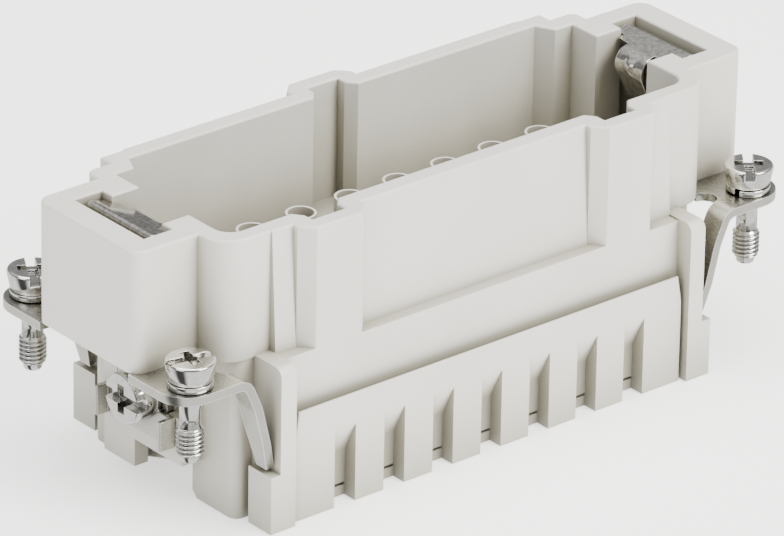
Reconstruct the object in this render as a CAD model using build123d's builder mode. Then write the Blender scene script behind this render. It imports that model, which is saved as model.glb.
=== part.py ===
from build123d import *
import os

os.makedirs("parts", exist_ok=True)

# Frame: X along the length, Y across, Z up from the wiring face to the mating edge, in millimetres.
# The origin is the middle of the wiring face.

# Fixing pattern and bracket sheet
screw_spacing_x = 77.5
screw_spacing_y = 27.0
screw_edge_margin = 3.5
screw_side_margin = 2.85
sheet = 1.0
bracket_top = 18.7
bracket_half_width = screw_spacing_y / 2 + screw_side_margin
bracket_half_length = screw_spacing_x / 2 + screw_edge_margin
bracket_bottom = bracket_top - sheet

# Mating cavity, its floor and its two narrower far corners
cavity_to_screw_ends = 7.05
cavity_to_screw_rows = 3.0
cavity_length = screw_spacing_x - 2 * cavity_to_screw_ends
cavity_half_width = screw_spacing_y / 2 - cavity_to_screw_rows
cavity_corner = 2.0
floor_drop = 0.1
floor_top = bracket_top - floor_drop
far_pocket_run = 3.55
far_pocket_step = 2.2
far_pocket_slope = 1.1
far_pocket_length = cavity_length - 2 * far_pocket_run
far_pocket_half_width = cavity_half_width - far_pocket_step

# Shroud above the bracket plane
shroud_height = 14.0
shroud_top = bracket_top + shroud_height
wall = 2.15
wall_foot_run = 0.75
end_wall = 2.2
wide_side_wall = 1.95
near_corner_radius = 3.3
far_step_run = 3.4
far_step = 1.8
far_corner_radius = 1.1
edge_round = 0.3
wall_half_width = cavity_half_width + wall
wall_foot_half_width = wall_half_width + wall_foot_run
wide_length = cavity_length + 2 * end_wall
wide_width = 2 * (cavity_half_width + wide_side_wall)
far_step_length = wide_length - 2 * far_step_run
far_step_half_width = wide_width / 2 - far_step

# End blocks with a pocket for the earth spring, open to the cavity through a throat
throat_length = 3.6
throat_half_width = 4.2
pocket_depth = 3.6
pocket_half_width = 5.9
pocket_floor_rise = 1.5
block_end_wall = 3.25
block_side_wall = 2.6
block_corner = 1.7
pocket_inner = cavity_length / 2 + throat_length
pocket_outer = pocket_inner + pocket_depth
pocket_floor = bracket_top + pocket_floor_rise
block_length = 2 * (pocket_outer + block_end_wall)
block_width = 2 * (pocket_half_width + block_side_wall)

# Coding keys: the outer ridge and the channel inside it
key_inset = 11.6
key_x = cavity_length / 2 - key_inset
key_base = 9.1
key_face = 6.2
key_rise = 1.45
key_wall = 1.95
channel_mouth = 6.2
channel_face = 4.3
key_reach = wall_foot_half_width + key_rise
channel_reach = key_reach - key_wall

# Contact chambers: two rows of eight
pitch = 6.73
row_spacing = 7.8
collar_diameter = 3.4
collar_bore = 2.85
collar_height = 4.9
collar_top = floor_top + collar_height
chamber_bore = 4.3
chamber_shoulder = 13.4

# Lower frame of the shroud, which holds the contact holder between its ends
floor_thickness = 2.2
holder_top = floor_top - floor_thickness
holder_room_step = 0.5
holder_room_half_width = wall_foot_half_width - holder_room_step
frame_length = cavity_length
frame_side_step = 1.2
frame_half_width = wall_foot_half_width - frame_side_step
frame_corner = 1.2
column_inset = 4.3
column_inner = frame_length / 2 - column_inset
column_thickness = 2.05
column_rise = 0.2
column_top = bracket_top + column_rise
column_round = 1.1
column_face = column_inner + column_thickness
column_side_lap = 0.65
column_half_width = bracket_half_width + column_side_lap
foot_thickness = 3.3
foot_height = 6.7
foot_slot = 1.0
foot_inner_y = frame_half_width + foot_slot
skirt_half_width = key_reach
frame_opening_half_width = 5.0
frame_opening_height = 4.0
frame_opening_chamfer = 0.8
mid_length = 2 * column_inner

# Contact holder and its ribbed side panels
holder_end_gap = 0.5
holder_side_gap = 0.3
panel_top = 12.75
skirt_lap = 0.95
skirt_bottom = panel_top - skirt_lap
panel_joint = 0.25
panel_groove_floor = skirt_bottom - panel_joint
panel_lip = 0.3
panel_proud = 1.45
panel_half_width = skirt_half_width + panel_proud
panel_edge_round = 0.25
panel_corner_run = 0.45
panel_corner_drop = 2.3
recess_width = 2.84
recess_depth = 1.8
recess_straight = 5.45
recess_top = 9.2
slit_height = 0.3
slit_level = 1.35
slit_depth = 0.8
holder_half_length = column_inner - holder_end_gap
holder_half_width = holder_room_half_width - holder_side_gap
chambers_per_row = 1 + int((2 * holder_half_length - chamber_bore) / pitch)

# Earth terminal at each end: wall, terminal tab, nut, saddle and screw along X
terminal_z = 11.2
terminal_wall_depth = 2.75
terminal_wall_outer = frame_length / 2 + terminal_wall_depth
terminal_wall_half_width = 6.65
terminal_wall_bottom = 5.0
tongue_inner_y = 1.4
tongue_bottom = 1.75
tongue_thickness = 1.8
side_opening_drop = 0.8
side_opening_bottom = terminal_z - side_opening_drop
side_opening_depth = 2.05
side_opening_roof = 0.7
tab_proud = 0.05
tab_outer = terminal_wall_outer + tab_proud
tab_half_width = 4.2
tab_drop = 3.4
tab_bottom = terminal_z - tab_drop
tab_gap = 0.2
nut_width = 6.4
nut_thickness = 1.9
nut_gap = 0.06
earth_thread = 3.5
earth_running_gap = 0.06
tab_hole_room = 0.6
tab_hole = earth_thread + tab_hole_room
earth_shank_length = 5.6
earth_tip_room = 0.7
earth_head_diameter = 5.8
earth_head_height = 2.3
earth_slot_width = 1.4
saddle_sheet = 0.6
saddle_half_width = 5.7
saddle_drop = 4.3
saddle_bottom = terminal_z - saddle_drop
saddle_wing_top = terminal_z - side_opening_drop
saddle_rise = 3.1
saddle_top = terminal_z + saddle_rise
saddle_upper_half_width = 3.3
saddle_wing_reach = 1.5
saddle_hole_room = 0.5
saddle_hole = earth_thread + saddle_hole_room

# Bracket outline
strip_reach = 1.8
strip_inner = tab_outer - sheet
strip_outer = tab_outer + strip_reach
strip_cut_half_width = 7.6
leg_frame_gap = 1.4
leg_inner_y = frame_half_width + leg_frame_gap
relief_radius = 1.4
leg_taper_inner = 0.7
relief_set = 0.1
relief_x = strip_inner - relief_set
relief_side = 1.2
relief_y = leg_inner_y - relief_side
leg_foot_gap = 0.65
leg_side_gap = 0.1
leg_slant = 1.9
leg_knee_drop = 3.8
leg_bend_set = 1.1
bend_x = tab_outer - leg_bend_set
leg_tip_x = column_face + leg_side_gap + sheet / 2
leg_tip_z = foot_height + leg_foot_gap
leg_knee_x = leg_tip_x + leg_slant
leg_knee_z = bracket_top - leg_knee_drop
leg_bend_radius = 1.5
leg_knee_radius = 5.5
leg_taper_outer = 0.4
leg_taper_inner_rise = 5.0
leg_taper_outer_rise = 3.1
leg_tip_inner_y = leg_inner_y + leg_taper_inner
leg_tip_outer_y = bracket_half_width - leg_taper_outer
leg_taper_inner_z = leg_tip_z + leg_taper_inner_rise
leg_taper_outer_z = leg_tip_z + leg_taper_outer_rise

# Fixing screws and their split lock washers
thread_diameter = 3.0
shank_diameter = 2.35
shank_hole_room = 0.15
shank_hole = shank_diameter + shank_hole_room
bare_shank_below = 3.7
thread_length = 4.0
thread_top = bracket_bottom - bare_shank_below
screw_tip = thread_top - thread_length
tip_chamfer = 0.3
head_diameter = 5.5
head_height = 2.3
slot_width = 1.1
washer_thickness = 0.85
washer_setback = 0.1
washer_thread_room = 0.1
washer_outer = head_diameter - 2 * washer_setback
washer_inner = thread_diameter + 2 * washer_thread_room
washer_split = 0.5

# Drive recess shared by both kinds of screw: a slot with a cross
slot_depth_share = 0.5
cross_length_share = 0.58
cross_width_share = 0.2
cross_depth_share = 0.62
head_round = 0.35

# Earth leaf spring, a bent strip
leaf_sheet = 0.45
leaf_wall_room = 1.18
leaf_top_room = 0.35
leaf_back_x = pocket_outer - leaf_wall_room - leaf_sheet / 2
leaf_top = shroud_top - leaf_top_room - leaf_sheet / 2
leaf_foot_lift = 0.2
leaf_foot = bracket_top + leaf_foot_lift
leaf_knee_run = 3.28
leaf_knee_fall = 0.68
leaf_knee_x = leaf_back_x - leaf_knee_run
leaf_knee_z = leaf_top - leaf_knee_fall
nose_run = 4.48
nose_fall = 1.88
nose_x = leaf_back_x - nose_run
nose_z = leaf_top - nose_fall
nose_under_run = 0.6
nose_under_fall = 1.56
nose_under_x = nose_x + nose_under_run
nose_under_z = nose_z - nose_under_fall
leaf_tail_run = 1.2
leaf_tail_fall = 9.43
leaf_tail_x = leaf_back_x - leaf_tail_run
leaf_tail_z = leaf_top - leaf_tail_fall
leaf_split_x = (leaf_back_x + leaf_tail_x) / 2
leaf_bend = 0.33
nose_bend = 0.68
leaf_neck_set = 0.3
leaf_neck_length = 0.9
leaf_side_gap = 0.6
leaf_throat_gap = 0.3
leaf_neck_x = pocket_inner + leaf_neck_set
leaf_half_width = pocket_half_width - leaf_side_gap
leaf_neck_half_width = throat_half_width - leaf_throat_gap
nose_start_x = leaf_neck_x - leaf_neck_length
nose_half_width = 2.2
leaf_back_half_width = 4.0
leaf_shoulder_fall = 5.12
leaf_shoulder_z = leaf_top - leaf_shoulder_fall
dimple_radius = 0.65
leaf_slot_gap = 0.1
cut_room = 1.0


def screw_head(diameter, height, slot):
    """Cheese head standing on Z = 0 with a straight slot and a cross recess in its top."""
    with BuildPart() as head:
        Cylinder(diameter / 2, height, align=(Align.CENTER, Align.CENTER, Align.MIN))
        fillet(head.edges().group_by(Axis.Z)[-1], head_round)
        with Locations((0, 0, height)):
            Box(
                diameter,
                slot,
                slot_depth_share * height,
                align=(Align.CENTER, Align.CENTER, Align.MAX),
                mode=Mode.SUBTRACT,
            )
            for turn in (0, 90):
                Box(
                    cross_length_share * diameter,
                    cross_width_share * diameter,
                    cross_depth_share * height,
                    rotation=(0, 0, turn),
                    align=(Align.CENTER, Align.CENTER, Align.MAX),
                    mode=Mode.SUBTRACT,
                )
    return head.part


# Shroud body: one moulding with the mating shroud, the floor, the side skirts and both end frames
with BuildPart() as shroud_body:
    with BuildSketch(Plane.XY.offset(bracket_top)):
        RectangleRounded(block_length, block_width, block_corner)
    extrude(amount=shroud_height)

    with BuildSketch(Plane.XY.offset(bracket_top)) as wide_plan:
        Rectangle(wide_length, wide_width)
        fillet(wide_plan.vertices().group_by(Axis.Y)[0], near_corner_radius)
        far_step_x = (wide_length + far_step_length) / 4
        far_step_y = (wide_width / 2 + far_step_half_width) / 2
        with Locations((-far_step_x, far_step_y), (far_step_x, far_step_y)):
            Rectangle(
                (wide_length - far_step_length) / 2,
                wide_width / 2 - far_step_half_width,
                mode=Mode.SUBTRACT,
            )
        fillet(
            wide_plan.vertices().filter_by(
                lambda corner: abs(corner.X) > wide_length / 2 - 0.01 and corner.Y > 0
            ),
            far_corner_radius,
        )
        for centre, side in ((-key_x, -1), (key_x, -1), (0, 1)):
            Polygon(
                (centre - key_base / 2, side * cavity_half_width),
                (centre - key_base / 2, side * wall_foot_half_width),
                (centre - key_face / 2, side * key_reach),
                (centre + key_face / 2, side * key_reach),
                (centre + key_base / 2, side * wall_foot_half_width),
                (centre + key_base / 2, side * cavity_half_width),
            )
    extrude(amount=shroud_height)

    # Long walls between the columns, thicker towards the foot
    with BuildSketch(Plane.YZ.offset(-mid_length / 2)):
        Polygon(
            (-wall_foot_half_width, bracket_top),
            (wall_foot_half_width, bracket_top),
            (wall_half_width, shroud_top),
            (-wall_half_width, shroud_top),
        )
    extrude(amount=mid_length)

    # Floor slab and the end frames below the bracket plane
    with BuildSketch():
        RectangleRounded(frame_length, 2 * frame_half_width, frame_corner)
    extrude(amount=bracket_top)
    with BuildSketch(Plane.XY.offset(skirt_bottom)):
        Rectangle(2 * column_inner + column_thickness, 2 * skirt_half_width)
    extrude(amount=bracket_top - skirt_bottom)
    for side in (-1, 1):
        with BuildSketch(Plane.YZ.offset(side * column_inner)) as column_profile:
            Rectangle(2 * column_half_width, column_top, align=(Align.CENTER, Align.MIN))
            fillet(column_profile.vertices().group_by(Axis.Y)[-1], column_round)
        extrude(amount=side * column_thickness)
        with BuildSketch(Plane.YZ.offset(side * column_inner)):
            with GridLocations(foot_inner_y + column_half_width, 0, 2, 1):
                Rectangle(
                    column_half_width - foot_inner_y,
                    foot_height,
                    align=(Align.CENTER, Align.MIN),
                )
        extrude(amount=side * foot_thickness)

    # Terminal wall and wire tongue at each end, turned half round for the other end
    wall_depth = terminal_wall_outer - frame_length / 2
    with PolarLocations(0, 2):
        with Locations((terminal_wall_outer, 0, terminal_wall_bottom)):
            Box(
                wall_depth,
                2 * terminal_wall_half_width,
                bracket_bottom - terminal_wall_bottom,
                align=(Align.MAX, Align.CENTER, Align.MIN),
            )
        with Locations((terminal_wall_outer, -terminal_wall_half_width, tongue_bottom)):
            Box(
                tongue_thickness,
                terminal_wall_half_width - tongue_inner_y,
                terminal_wall_bottom - tongue_bottom,
                align=(Align.MAX, Align.MIN, Align.MIN),
            )

    # Room for the contact holder between the end frames
    with BuildSketch():
        Rectangle(2 * column_inner, 2 * holder_room_half_width)
    extrude(amount=holder_top, mode=Mode.SUBTRACT)

    # Opening under each end frame, with chamfered lower corners
    with BuildSketch(Plane.YZ.offset(-frame_length / 2)):
        Polygon(
            (-frame_opening_half_width - frame_opening_chamfer, 0),
            (-frame_opening_half_width, frame_opening_chamfer),
            (-frame_opening_half_width, frame_opening_height),
            (frame_opening_half_width, frame_opening_height),
            (frame_opening_half_width, frame_opening_chamfer),
            (frame_opening_half_width + frame_opening_chamfer, 0),
        )
    extrude(amount=frame_length, mode=Mode.SUBTRACT)

    # Mating cavity with its polarised far corners and coding channels
    with BuildSketch(Plane.XY.offset(floor_top)) as cavity_plan:
        Rectangle(cavity_length, 2 * cavity_half_width)
        fillet(cavity_plan.vertices().group_by(Axis.Y)[0], cavity_corner)
        for side in (-1, 1):
            Polygon(
                (side * far_pocket_length / 2, cavity_half_width),
                (side * (far_pocket_length / 2 + far_pocket_slope), far_pocket_half_width),
                (side * cavity_length / 2, far_pocket_half_width),
                (side * cavity_length / 2, cavity_half_width),
                mode=Mode.SUBTRACT,
            )
        for centre, side in ((-key_x, -1), (key_x, -1), (0, 1)):
            Polygon(
                (centre - channel_mouth / 2, side * far_pocket_half_width),
                (centre - channel_mouth / 2, side * cavity_half_width),
                (centre - channel_face / 2, side * (cavity_half_width + channel_reach) / 2),
                (centre - channel_face / 2, side * channel_reach),
                (centre + channel_face / 2, side * channel_reach),
                (centre + channel_face / 2, side * (cavity_half_width + channel_reach) / 2),
                (centre + channel_mouth / 2, side * cavity_half_width),
                (centre + channel_mouth / 2, side * far_pocket_half_width),
            )
    extrude(amount=shroud_top - floor_top, mode=Mode.SUBTRACT)

    # Pocket, throat and foot slot for the earth spring at each end
    with PolarLocations(0, 2):
        with Locations((pocket_outer, 0, pocket_floor)):
            Box(
                pocket_outer - pocket_inner,
                2 * pocket_half_width,
                shroud_top - pocket_floor,
                align=(Align.MAX, Align.CENTER, Align.MIN),
                mode=Mode.SUBTRACT,
            )
        with Locations((pocket_inner, 0, pocket_floor)):
            Box(
                pocket_inner - cavity_length / 2,
                2 * throat_half_width,
                shroud_top - pocket_floor,
                align=(Align.MAX, Align.CENTER, Align.MIN),
                mode=Mode.SUBTRACT,
            )
        with Locations((leaf_back_x + leaf_sheet / 2 + leaf_slot_gap, 0, bracket_top)):
            Box(
                leaf_sheet + 2 * leaf_slot_gap,
                2 * (leaf_back_half_width + leaf_slot_gap),
                pocket_floor - bracket_top,
                align=(Align.MAX, Align.CENTER, Align.MIN),
                mode=Mode.SUBTRACT,
            )

    # Recesses in the terminal walls for the tab, the nut, the screw tip and the side access
    tab_recess_inner = strip_inner
    nut_inner = tab_recess_inner - nut_thickness
    screw_tip_x = tab_outer + saddle_sheet - earth_shank_length
    with PolarLocations(0, 2):
        with Locations((terminal_wall_outer, 0, tab_bottom - tab_gap)):
            Box(
                terminal_wall_outer - tab_recess_inner,
                2 * (tab_half_width + tab_gap),
                bracket_bottom - tab_bottom + tab_gap,
                align=(Align.MAX, Align.CENTER, Align.MIN),
                mode=Mode.SUBTRACT,
            )
        with Locations((tab_recess_inner, 0, terminal_z)):
            Box(
                nut_thickness,
                nut_width + 2 * nut_gap,
                nut_width + 2 * nut_gap,
                align=(Align.MAX, Align.CENTER, Align.CENTER),
                mode=Mode.SUBTRACT,
            )
        with Locations((nut_inner, 0, terminal_z)):
            Cylinder(
                earth_thread / 2 + earth_tip_room / 2,
                nut_inner - screw_tip_x + earth_tip_room,
                rotation=(0, 90, 0),
                align=(Align.CENTER, Align.CENTER, Align.MAX),
                mode=Mode.SUBTRACT,
            )
        with Locations((terminal_wall_outer, terminal_wall_half_width, side_opening_bottom)):
            Box(
                side_opening_depth,
                terminal_wall_half_width - tab_half_width - tab_gap,
                bracket_bottom - side_opening_roof - side_opening_bottom,
                align=(Align.MAX, Align.MAX, Align.MIN),
                mode=Mode.SUBTRACT,
            )

    # Chamber collars on the floor and their bores through the slab
    with Locations((0, 0, holder_top)):
        with GridLocations(pitch, row_spacing, chambers_per_row, 2):
            Cylinder(
                collar_diameter / 2,
                collar_top - holder_top,
                align=(Align.CENTER, Align.CENTER, Align.MIN),
            )
    with Locations((0, 0, holder_top)):
        with GridLocations(pitch, row_spacing, chambers_per_row, 2):
            Cylinder(
                collar_bore / 2,
                collar_top - holder_top,
                align=(Align.CENTER, Align.CENTER, Align.MIN),
                mode=Mode.SUBTRACT,
            )
    fillet(shroud_body.edges().group_by(Axis.Z)[-1], edge_round)

shroud_body.part.label = "shroud_body"
export_step(shroud_body.part, "parts/shroud_body.step")


# Contact holder: the lower moulding with sixteen chambers and two ribbed side panels
with BuildPart() as contact_holder:
    Box(
        2 * holder_half_length,
        2 * holder_half_width,
        holder_top,
        align=(Align.CENTER, Align.CENTER, Align.MIN),
    )
    with BuildSketch(Plane.XZ.offset(-panel_half_width)):
        Polygon(
            (-holder_half_length, 0),
            (-holder_half_length, panel_top - panel_corner_drop),
            (-holder_half_length + panel_corner_run, panel_top),
            (holder_half_length - panel_corner_run, panel_top),
            (holder_half_length, panel_top - panel_corner_drop),
            (holder_half_length, 0),
        )
    extrude(amount=2 * panel_half_width)
    outer_faces = contact_holder.faces().filter_by(Axis.Y).sort_by(Axis.Y)
    for face in (outer_faces[0], outer_faces[-1]):
        fillet(face.edges().sort_by(Axis.Z)[-3:], panel_edge_round)

    # Groove behind the lip of each panel, which takes the foot of the skirt
    with BuildSketch(Plane.YZ.offset(-holder_half_length)):
        for side in (-1, 1):
            Polygon(
                (side * holder_half_width, panel_groove_floor),
                (side * (skirt_half_width + panel_joint), panel_groove_floor),
                (side * (panel_half_width - panel_lip), panel_top),
                (side * holder_half_width, panel_top),
            )
    extrude(amount=2 * holder_half_length, mode=Mode.SUBTRACT)

    # Recesses between the ribs, ramped at the top, each with a narrow slit near the foot
    for side in (-1, 1):
        for gap in range(chambers_per_row - 1):
            with BuildSketch(Plane.YZ.offset((gap + 1 - chambers_per_row / 2) * pitch)):
                Polygon(
                    (side * panel_half_width, 0),
                    (side * (panel_half_width - recess_depth), 0),
                    (side * (panel_half_width - recess_depth), recess_straight),
                    (side * panel_half_width, recess_top),
                )
            extrude(amount=recess_width / 2, both=True, mode=Mode.SUBTRACT)
        with Locations((0, side * (panel_half_width - recess_depth - slit_depth / 2), slit_level)):
            with GridLocations(pitch, 0, chambers_per_row - 1, 1):
                Box(recess_width, slit_depth, slit_height, mode=Mode.SUBTRACT)

    # Chambers: a wide bore from the wiring side and a narrower one through the shoulder
    with GridLocations(pitch, row_spacing, chambers_per_row, 2):
        Cylinder(
            chamber_bore / 2,
            chamber_shoulder,
            align=(Align.CENTER, Align.CENTER, Align.MIN),
            mode=Mode.SUBTRACT,
        )
        Cylinder(
            collar_bore / 2,
            holder_top,
            align=(Align.CENTER, Align.CENTER, Align.MIN),
            mode=Mode.SUBTRACT,
        )

contact_holder.part.label = "contact_holder"
export_step(contact_holder.part, "parts/contact_holder.step")

# Bracket: one sheet with two screw ears, two slanted legs and the terminal tab
with BuildPart() as bracket_right:
    with BuildSketch(Plane.XY.offset(bracket_bottom)) as plate_plan:
        with Locations((strip_inner, 0)):
            Rectangle(
                bracket_half_length - strip_inner,
                2 * bracket_half_width,
                align=(Align.MIN, Align.CENTER),
            )
        fillet(plate_plan.vertices().group_by(Axis.X)[-1], screw_edge_margin)
        with Locations((strip_outer, 0)):
            Rectangle(
                bracket_half_length - strip_outer,
                2 * strip_cut_half_width,
                align=(Align.MIN, Align.CENTER),
                mode=Mode.SUBTRACT,
            )
        with Locations((relief_x, relief_y), (relief_x, -relief_y)):
            Circle(relief_radius, mode=Mode.SUBTRACT)
        with Locations((screw_spacing_x / 2, 0)):
            with GridLocations(0, screw_spacing_y, 1, 2):
                Circle(shank_hole / 2, mode=Mode.SUBTRACT)
        for side in (-1, 1):
            with Locations((strip_inner, side * bracket_half_width)):
                Rectangle(
                    bend_x + leg_bend_radius - strip_inner,
                    bracket_half_width - leg_inner_y,
                    align=(Align.MIN, Align.MAX if side > 0 else Align.MIN),
                    mode=Mode.SUBTRACT,
                )
    extrude(amount=sheet)

    with Locations((tab_outer, 0, bracket_top)):
        Box(
            sheet,
            2 * tab_half_width,
            bracket_top - tab_bottom,
            align=(Align.MAX, Align.CENTER, Align.MAX),
        )
    with Locations((tab_outer, 0, terminal_z)):
        Cylinder(
            tab_hole / 2,
            sheet,
            rotation=(0, 90, 0),
            align=(Align.CENTER, Align.CENTER, Align.MAX),
            mode=Mode.SUBTRACT,
        )

    for side in (-1, 1):
        with BuildSketch(Plane.XZ.offset(-side * (leg_inner_y + bracket_half_width) / 2)):
            with BuildLine():
                FilletPolyline(
                    (strip_outer, bracket_top - sheet / 2),
                    (bend_x, bracket_top - sheet / 2),
                    (leg_knee_x, leg_knee_z),
                    (leg_tip_x, leg_tip_z),
                    radius=(leg_bend_radius, leg_knee_radius),
                )
            trace(line_width=sheet)
        extrude(amount=(bracket_half_width - leg_inner_y) / 2, both=True)
        with BuildSketch(Plane.YZ.offset(column_inner)):
            Polygon(
                (side * bracket_half_width, leg_tip_z - sheet),
                (side * bracket_half_width, leg_taper_outer_z),
                (side * leg_tip_outer_y, leg_tip_z),
                (side * leg_tip_outer_y, leg_tip_z - sheet),
            )
            Polygon(
                (side * leg_inner_y, leg_tip_z - sheet),
                (side * leg_inner_y, leg_taper_inner_z),
                (side * leg_tip_inner_y, leg_tip_z),
                (side * leg_tip_inner_y, leg_tip_z - sheet),
            )
        extrude(amount=bend_x - column_inner, mode=Mode.SUBTRACT)

with BuildPart() as bracket_left:
    with Locations(Location((0, 0, 0), (0, 0, 180))):
        add(bracket_right.part)

for side_name, bracket in (("right", bracket_right), ("left", bracket_left)):
    bracket.part.label = f"bracket_{side_name}"
    export_step(bracket.part, f"parts/bracket_{side_name}.step")

# Fixing screw and split lock washer, modelled once on the Z axis
washer_top = bracket_top + washer_thickness
with BuildPart() as screw_blank:
    with BuildSketch(Plane.XY.offset(screw_tip)):
        Circle(thread_diameter / 2)
    extrude(amount=thread_top - screw_tip)
    chamfer(screw_blank.edges().group_by(Axis.Z)[0], tip_chamfer)
    with BuildSketch(Plane.XY.offset(thread_top)):
        Circle(shank_diameter / 2)
    extrude(amount=washer_top - thread_top)
    with Locations((0, 0, washer_top)):
        add(screw_head(head_diameter, head_height, slot_width))

with BuildPart() as washer_blank:
    with BuildSketch(Plane.XY.offset(bracket_top)):
        Circle(washer_outer / 2)
        Circle(washer_inner / 2, mode=Mode.SUBTRACT)
        with Locations((0, -washer_outer / 2)):
            Rectangle(washer_split, washer_outer, mode=Mode.SUBTRACT)
    extrude(amount=washer_thickness)

for end_name, end in (("left", -1), ("right", 1)):
    for row_name, row in (("front", -1), ("rear", 1)):
        place = Location((end * screw_spacing_x / 2, row * screw_spacing_y / 2, 0))
        for kind, blank in (("fixing_screw", screw_blank), ("lock_washer", washer_blank)):
            with BuildPart() as placed_piece:
                with Locations(place):
                    add(blank.part)
            placed_piece.part.label = f"{kind}_{end_name}_{row_name}"
            export_step(placed_piece.part, f"parts/{kind}_{end_name}_{row_name}.step")

# Earth terminal pieces, modelled at the right end
head_seat = tab_outer + saddle_sheet
with BuildPart() as earth_nut:
    with Locations((strip_inner, 0, terminal_z)):
        Box(nut_thickness, nut_width, nut_width, align=(Align.MAX, Align.CENTER, Align.CENTER))
        Cylinder(
            earth_thread / 2 + earth_running_gap,
            nut_thickness,
            rotation=(0, 90, 0),
            align=(Align.CENTER, Align.CENTER, Align.MAX),
            mode=Mode.SUBTRACT,
        )

with BuildPart() as earth_saddle:
    with BuildSketch(Plane.YZ.offset(tab_outer)):
        with Locations((0, saddle_bottom)):
            Rectangle(
                2 * saddle_half_width,
                saddle_wing_top - saddle_bottom,
                align=(Align.CENTER, Align.MIN),
            )
            Rectangle(
                2 * saddle_upper_half_width,
                saddle_top - saddle_bottom,
                align=(Align.CENTER, Align.MIN),
            )
        with Locations((0, terminal_z)):
            Circle(saddle_hole / 2, mode=Mode.SUBTRACT)
    extrude(amount=saddle_sheet)
    with Locations((tab_outer, 0, saddle_bottom)):
        with GridLocations(0, 2 * saddle_half_width - saddle_sheet, 1, 2):
            Box(
                saddle_sheet + saddle_wing_reach,
                saddle_sheet,
                saddle_wing_top - saddle_bottom,
                align=(Align.MIN, Align.CENTER, Align.MIN),
            )

with BuildPart() as earth_screw:
    with Locations((head_seat, 0, terminal_z)):
        Cylinder(
            earth_thread / 2,
            earth_shank_length,
            rotation=(0, 90, 0),
            align=(Align.CENTER, Align.CENTER, Align.MAX),
        )
    chamfer(earth_screw.edges().group_by(Axis.X)[0], tip_chamfer)
    with Locations(Plane((head_seat, 0, terminal_z), x_dir=(0, 1, 0), z_dir=(1, 0, 0))):
        add(screw_head(earth_head_diameter, earth_head_height, earth_slot_width))

# Earth leaf spring: foot in the end block, fold at the top, rounded nose in the throat
with BuildPart() as earth_leaf:
    with BuildSketch(Plane.XZ):
        with BuildLine():
            FilletPolyline(
                (leaf_back_x, leaf_foot),
                (leaf_back_x, leaf_top),
                (leaf_knee_x, leaf_knee_z),
                (nose_x, nose_z),
                (nose_under_x, nose_under_z),
                (leaf_tail_x, leaf_tail_z),
                radius=(leaf_bend, nose_bend, nose_bend, nose_bend),
            )
        trace(line_width=leaf_sheet)
    extrude(amount=leaf_half_width, both=True)
    for side in (-1, 1):
        with BuildSketch(Plane.XZ.offset(-side * leaf_half_width)):
            Polygon(
                (nose_x - cut_room, leaf_tail_z - cut_room),
                (nose_x - cut_room, leaf_top + cut_room),
                (nose_start_x, leaf_top + cut_room),
                (nose_start_x, leaf_shoulder_z),
                (leaf_split_x, leaf_shoulder_z),
                (leaf_split_x, leaf_tail_z - cut_room),
            )
        extrude(amount=side * (leaf_half_width - nose_half_width), mode=Mode.SUBTRACT)
        with BuildSketch(Plane.XZ.offset(-side * leaf_half_width)):
            Polygon(
                (nose_start_x, leaf_shoulder_z),
                (nose_start_x, leaf_top + cut_room),
                (leaf_neck_x, leaf_top + cut_room),
                (leaf_neck_x, leaf_shoulder_z),
            )
        extrude(amount=side * (leaf_half_width - leaf_neck_half_width), mode=Mode.SUBTRACT)
        with BuildSketch(Plane.XZ.offset(-side * leaf_half_width)):
            Polygon(
                (leaf_split_x, leaf_foot - cut_room),
                (leaf_split_x, leaf_shoulder_z),
                (leaf_back_x + cut_room, leaf_shoulder_z),
                (leaf_back_x + cut_room, leaf_foot - cut_room),
            )
        extrude(amount=side * (leaf_half_width - leaf_back_half_width), mode=Mode.SUBTRACT)
    with Locations((nose_x + leaf_sheet / 2, 0, nose_z)):
        Sphere(dimple_radius)

for kind, blank in (
    ("earth_nut", earth_nut),
    ("earth_saddle", earth_saddle),
    ("earth_screw", earth_screw),
    ("earth_leaf", earth_leaf),
):
    for end_name, turn in (("right", 0), ("left", 180)):
        with BuildPart() as placed_piece:
            with Locations(Location((0, 0, 0), (0, 0, turn))):
                add(blank.part)
        placed_piece.part.label = f"{kind}_{end_name}"
        export_step(placed_piece.part, f"parts/{kind}_{end_name}.step")
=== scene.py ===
"""Looks of a heavy duty rectangular connector insert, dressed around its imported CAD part.

The frame is the CAD's own: X along the length, Y across, Z up, in metres, with the middle of the
wiring face at the origin. Sizes in the classes are millimetres and go through MM.
"""

import logging
import math
from dataclasses import dataclass
from enum import Enum

import bmesh
import bpy
from mathutils import Matrix, Vector


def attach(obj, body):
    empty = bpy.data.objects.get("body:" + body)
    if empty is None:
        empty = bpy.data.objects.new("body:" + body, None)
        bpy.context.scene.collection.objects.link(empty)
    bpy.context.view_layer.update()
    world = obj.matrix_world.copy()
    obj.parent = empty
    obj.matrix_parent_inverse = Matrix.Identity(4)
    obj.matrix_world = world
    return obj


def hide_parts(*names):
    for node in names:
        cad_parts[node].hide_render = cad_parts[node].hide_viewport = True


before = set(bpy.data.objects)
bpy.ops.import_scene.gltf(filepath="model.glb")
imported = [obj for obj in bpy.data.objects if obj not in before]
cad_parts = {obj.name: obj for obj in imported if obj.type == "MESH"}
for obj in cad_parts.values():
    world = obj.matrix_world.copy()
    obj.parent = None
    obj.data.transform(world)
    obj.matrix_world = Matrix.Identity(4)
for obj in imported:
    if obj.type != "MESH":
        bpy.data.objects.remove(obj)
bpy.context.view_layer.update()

log = logging.getLogger("connector")

MM = 0.001

# Sockets of a Mix node that mixes colours
MIX_FACTOR = 0
MIX_FIRST = 6
MIX_SECOND = 7
MIX_RESULT = 2

# Rays that an occlusion node sends from a point
OCCLUSION_RAYS = 8

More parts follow.
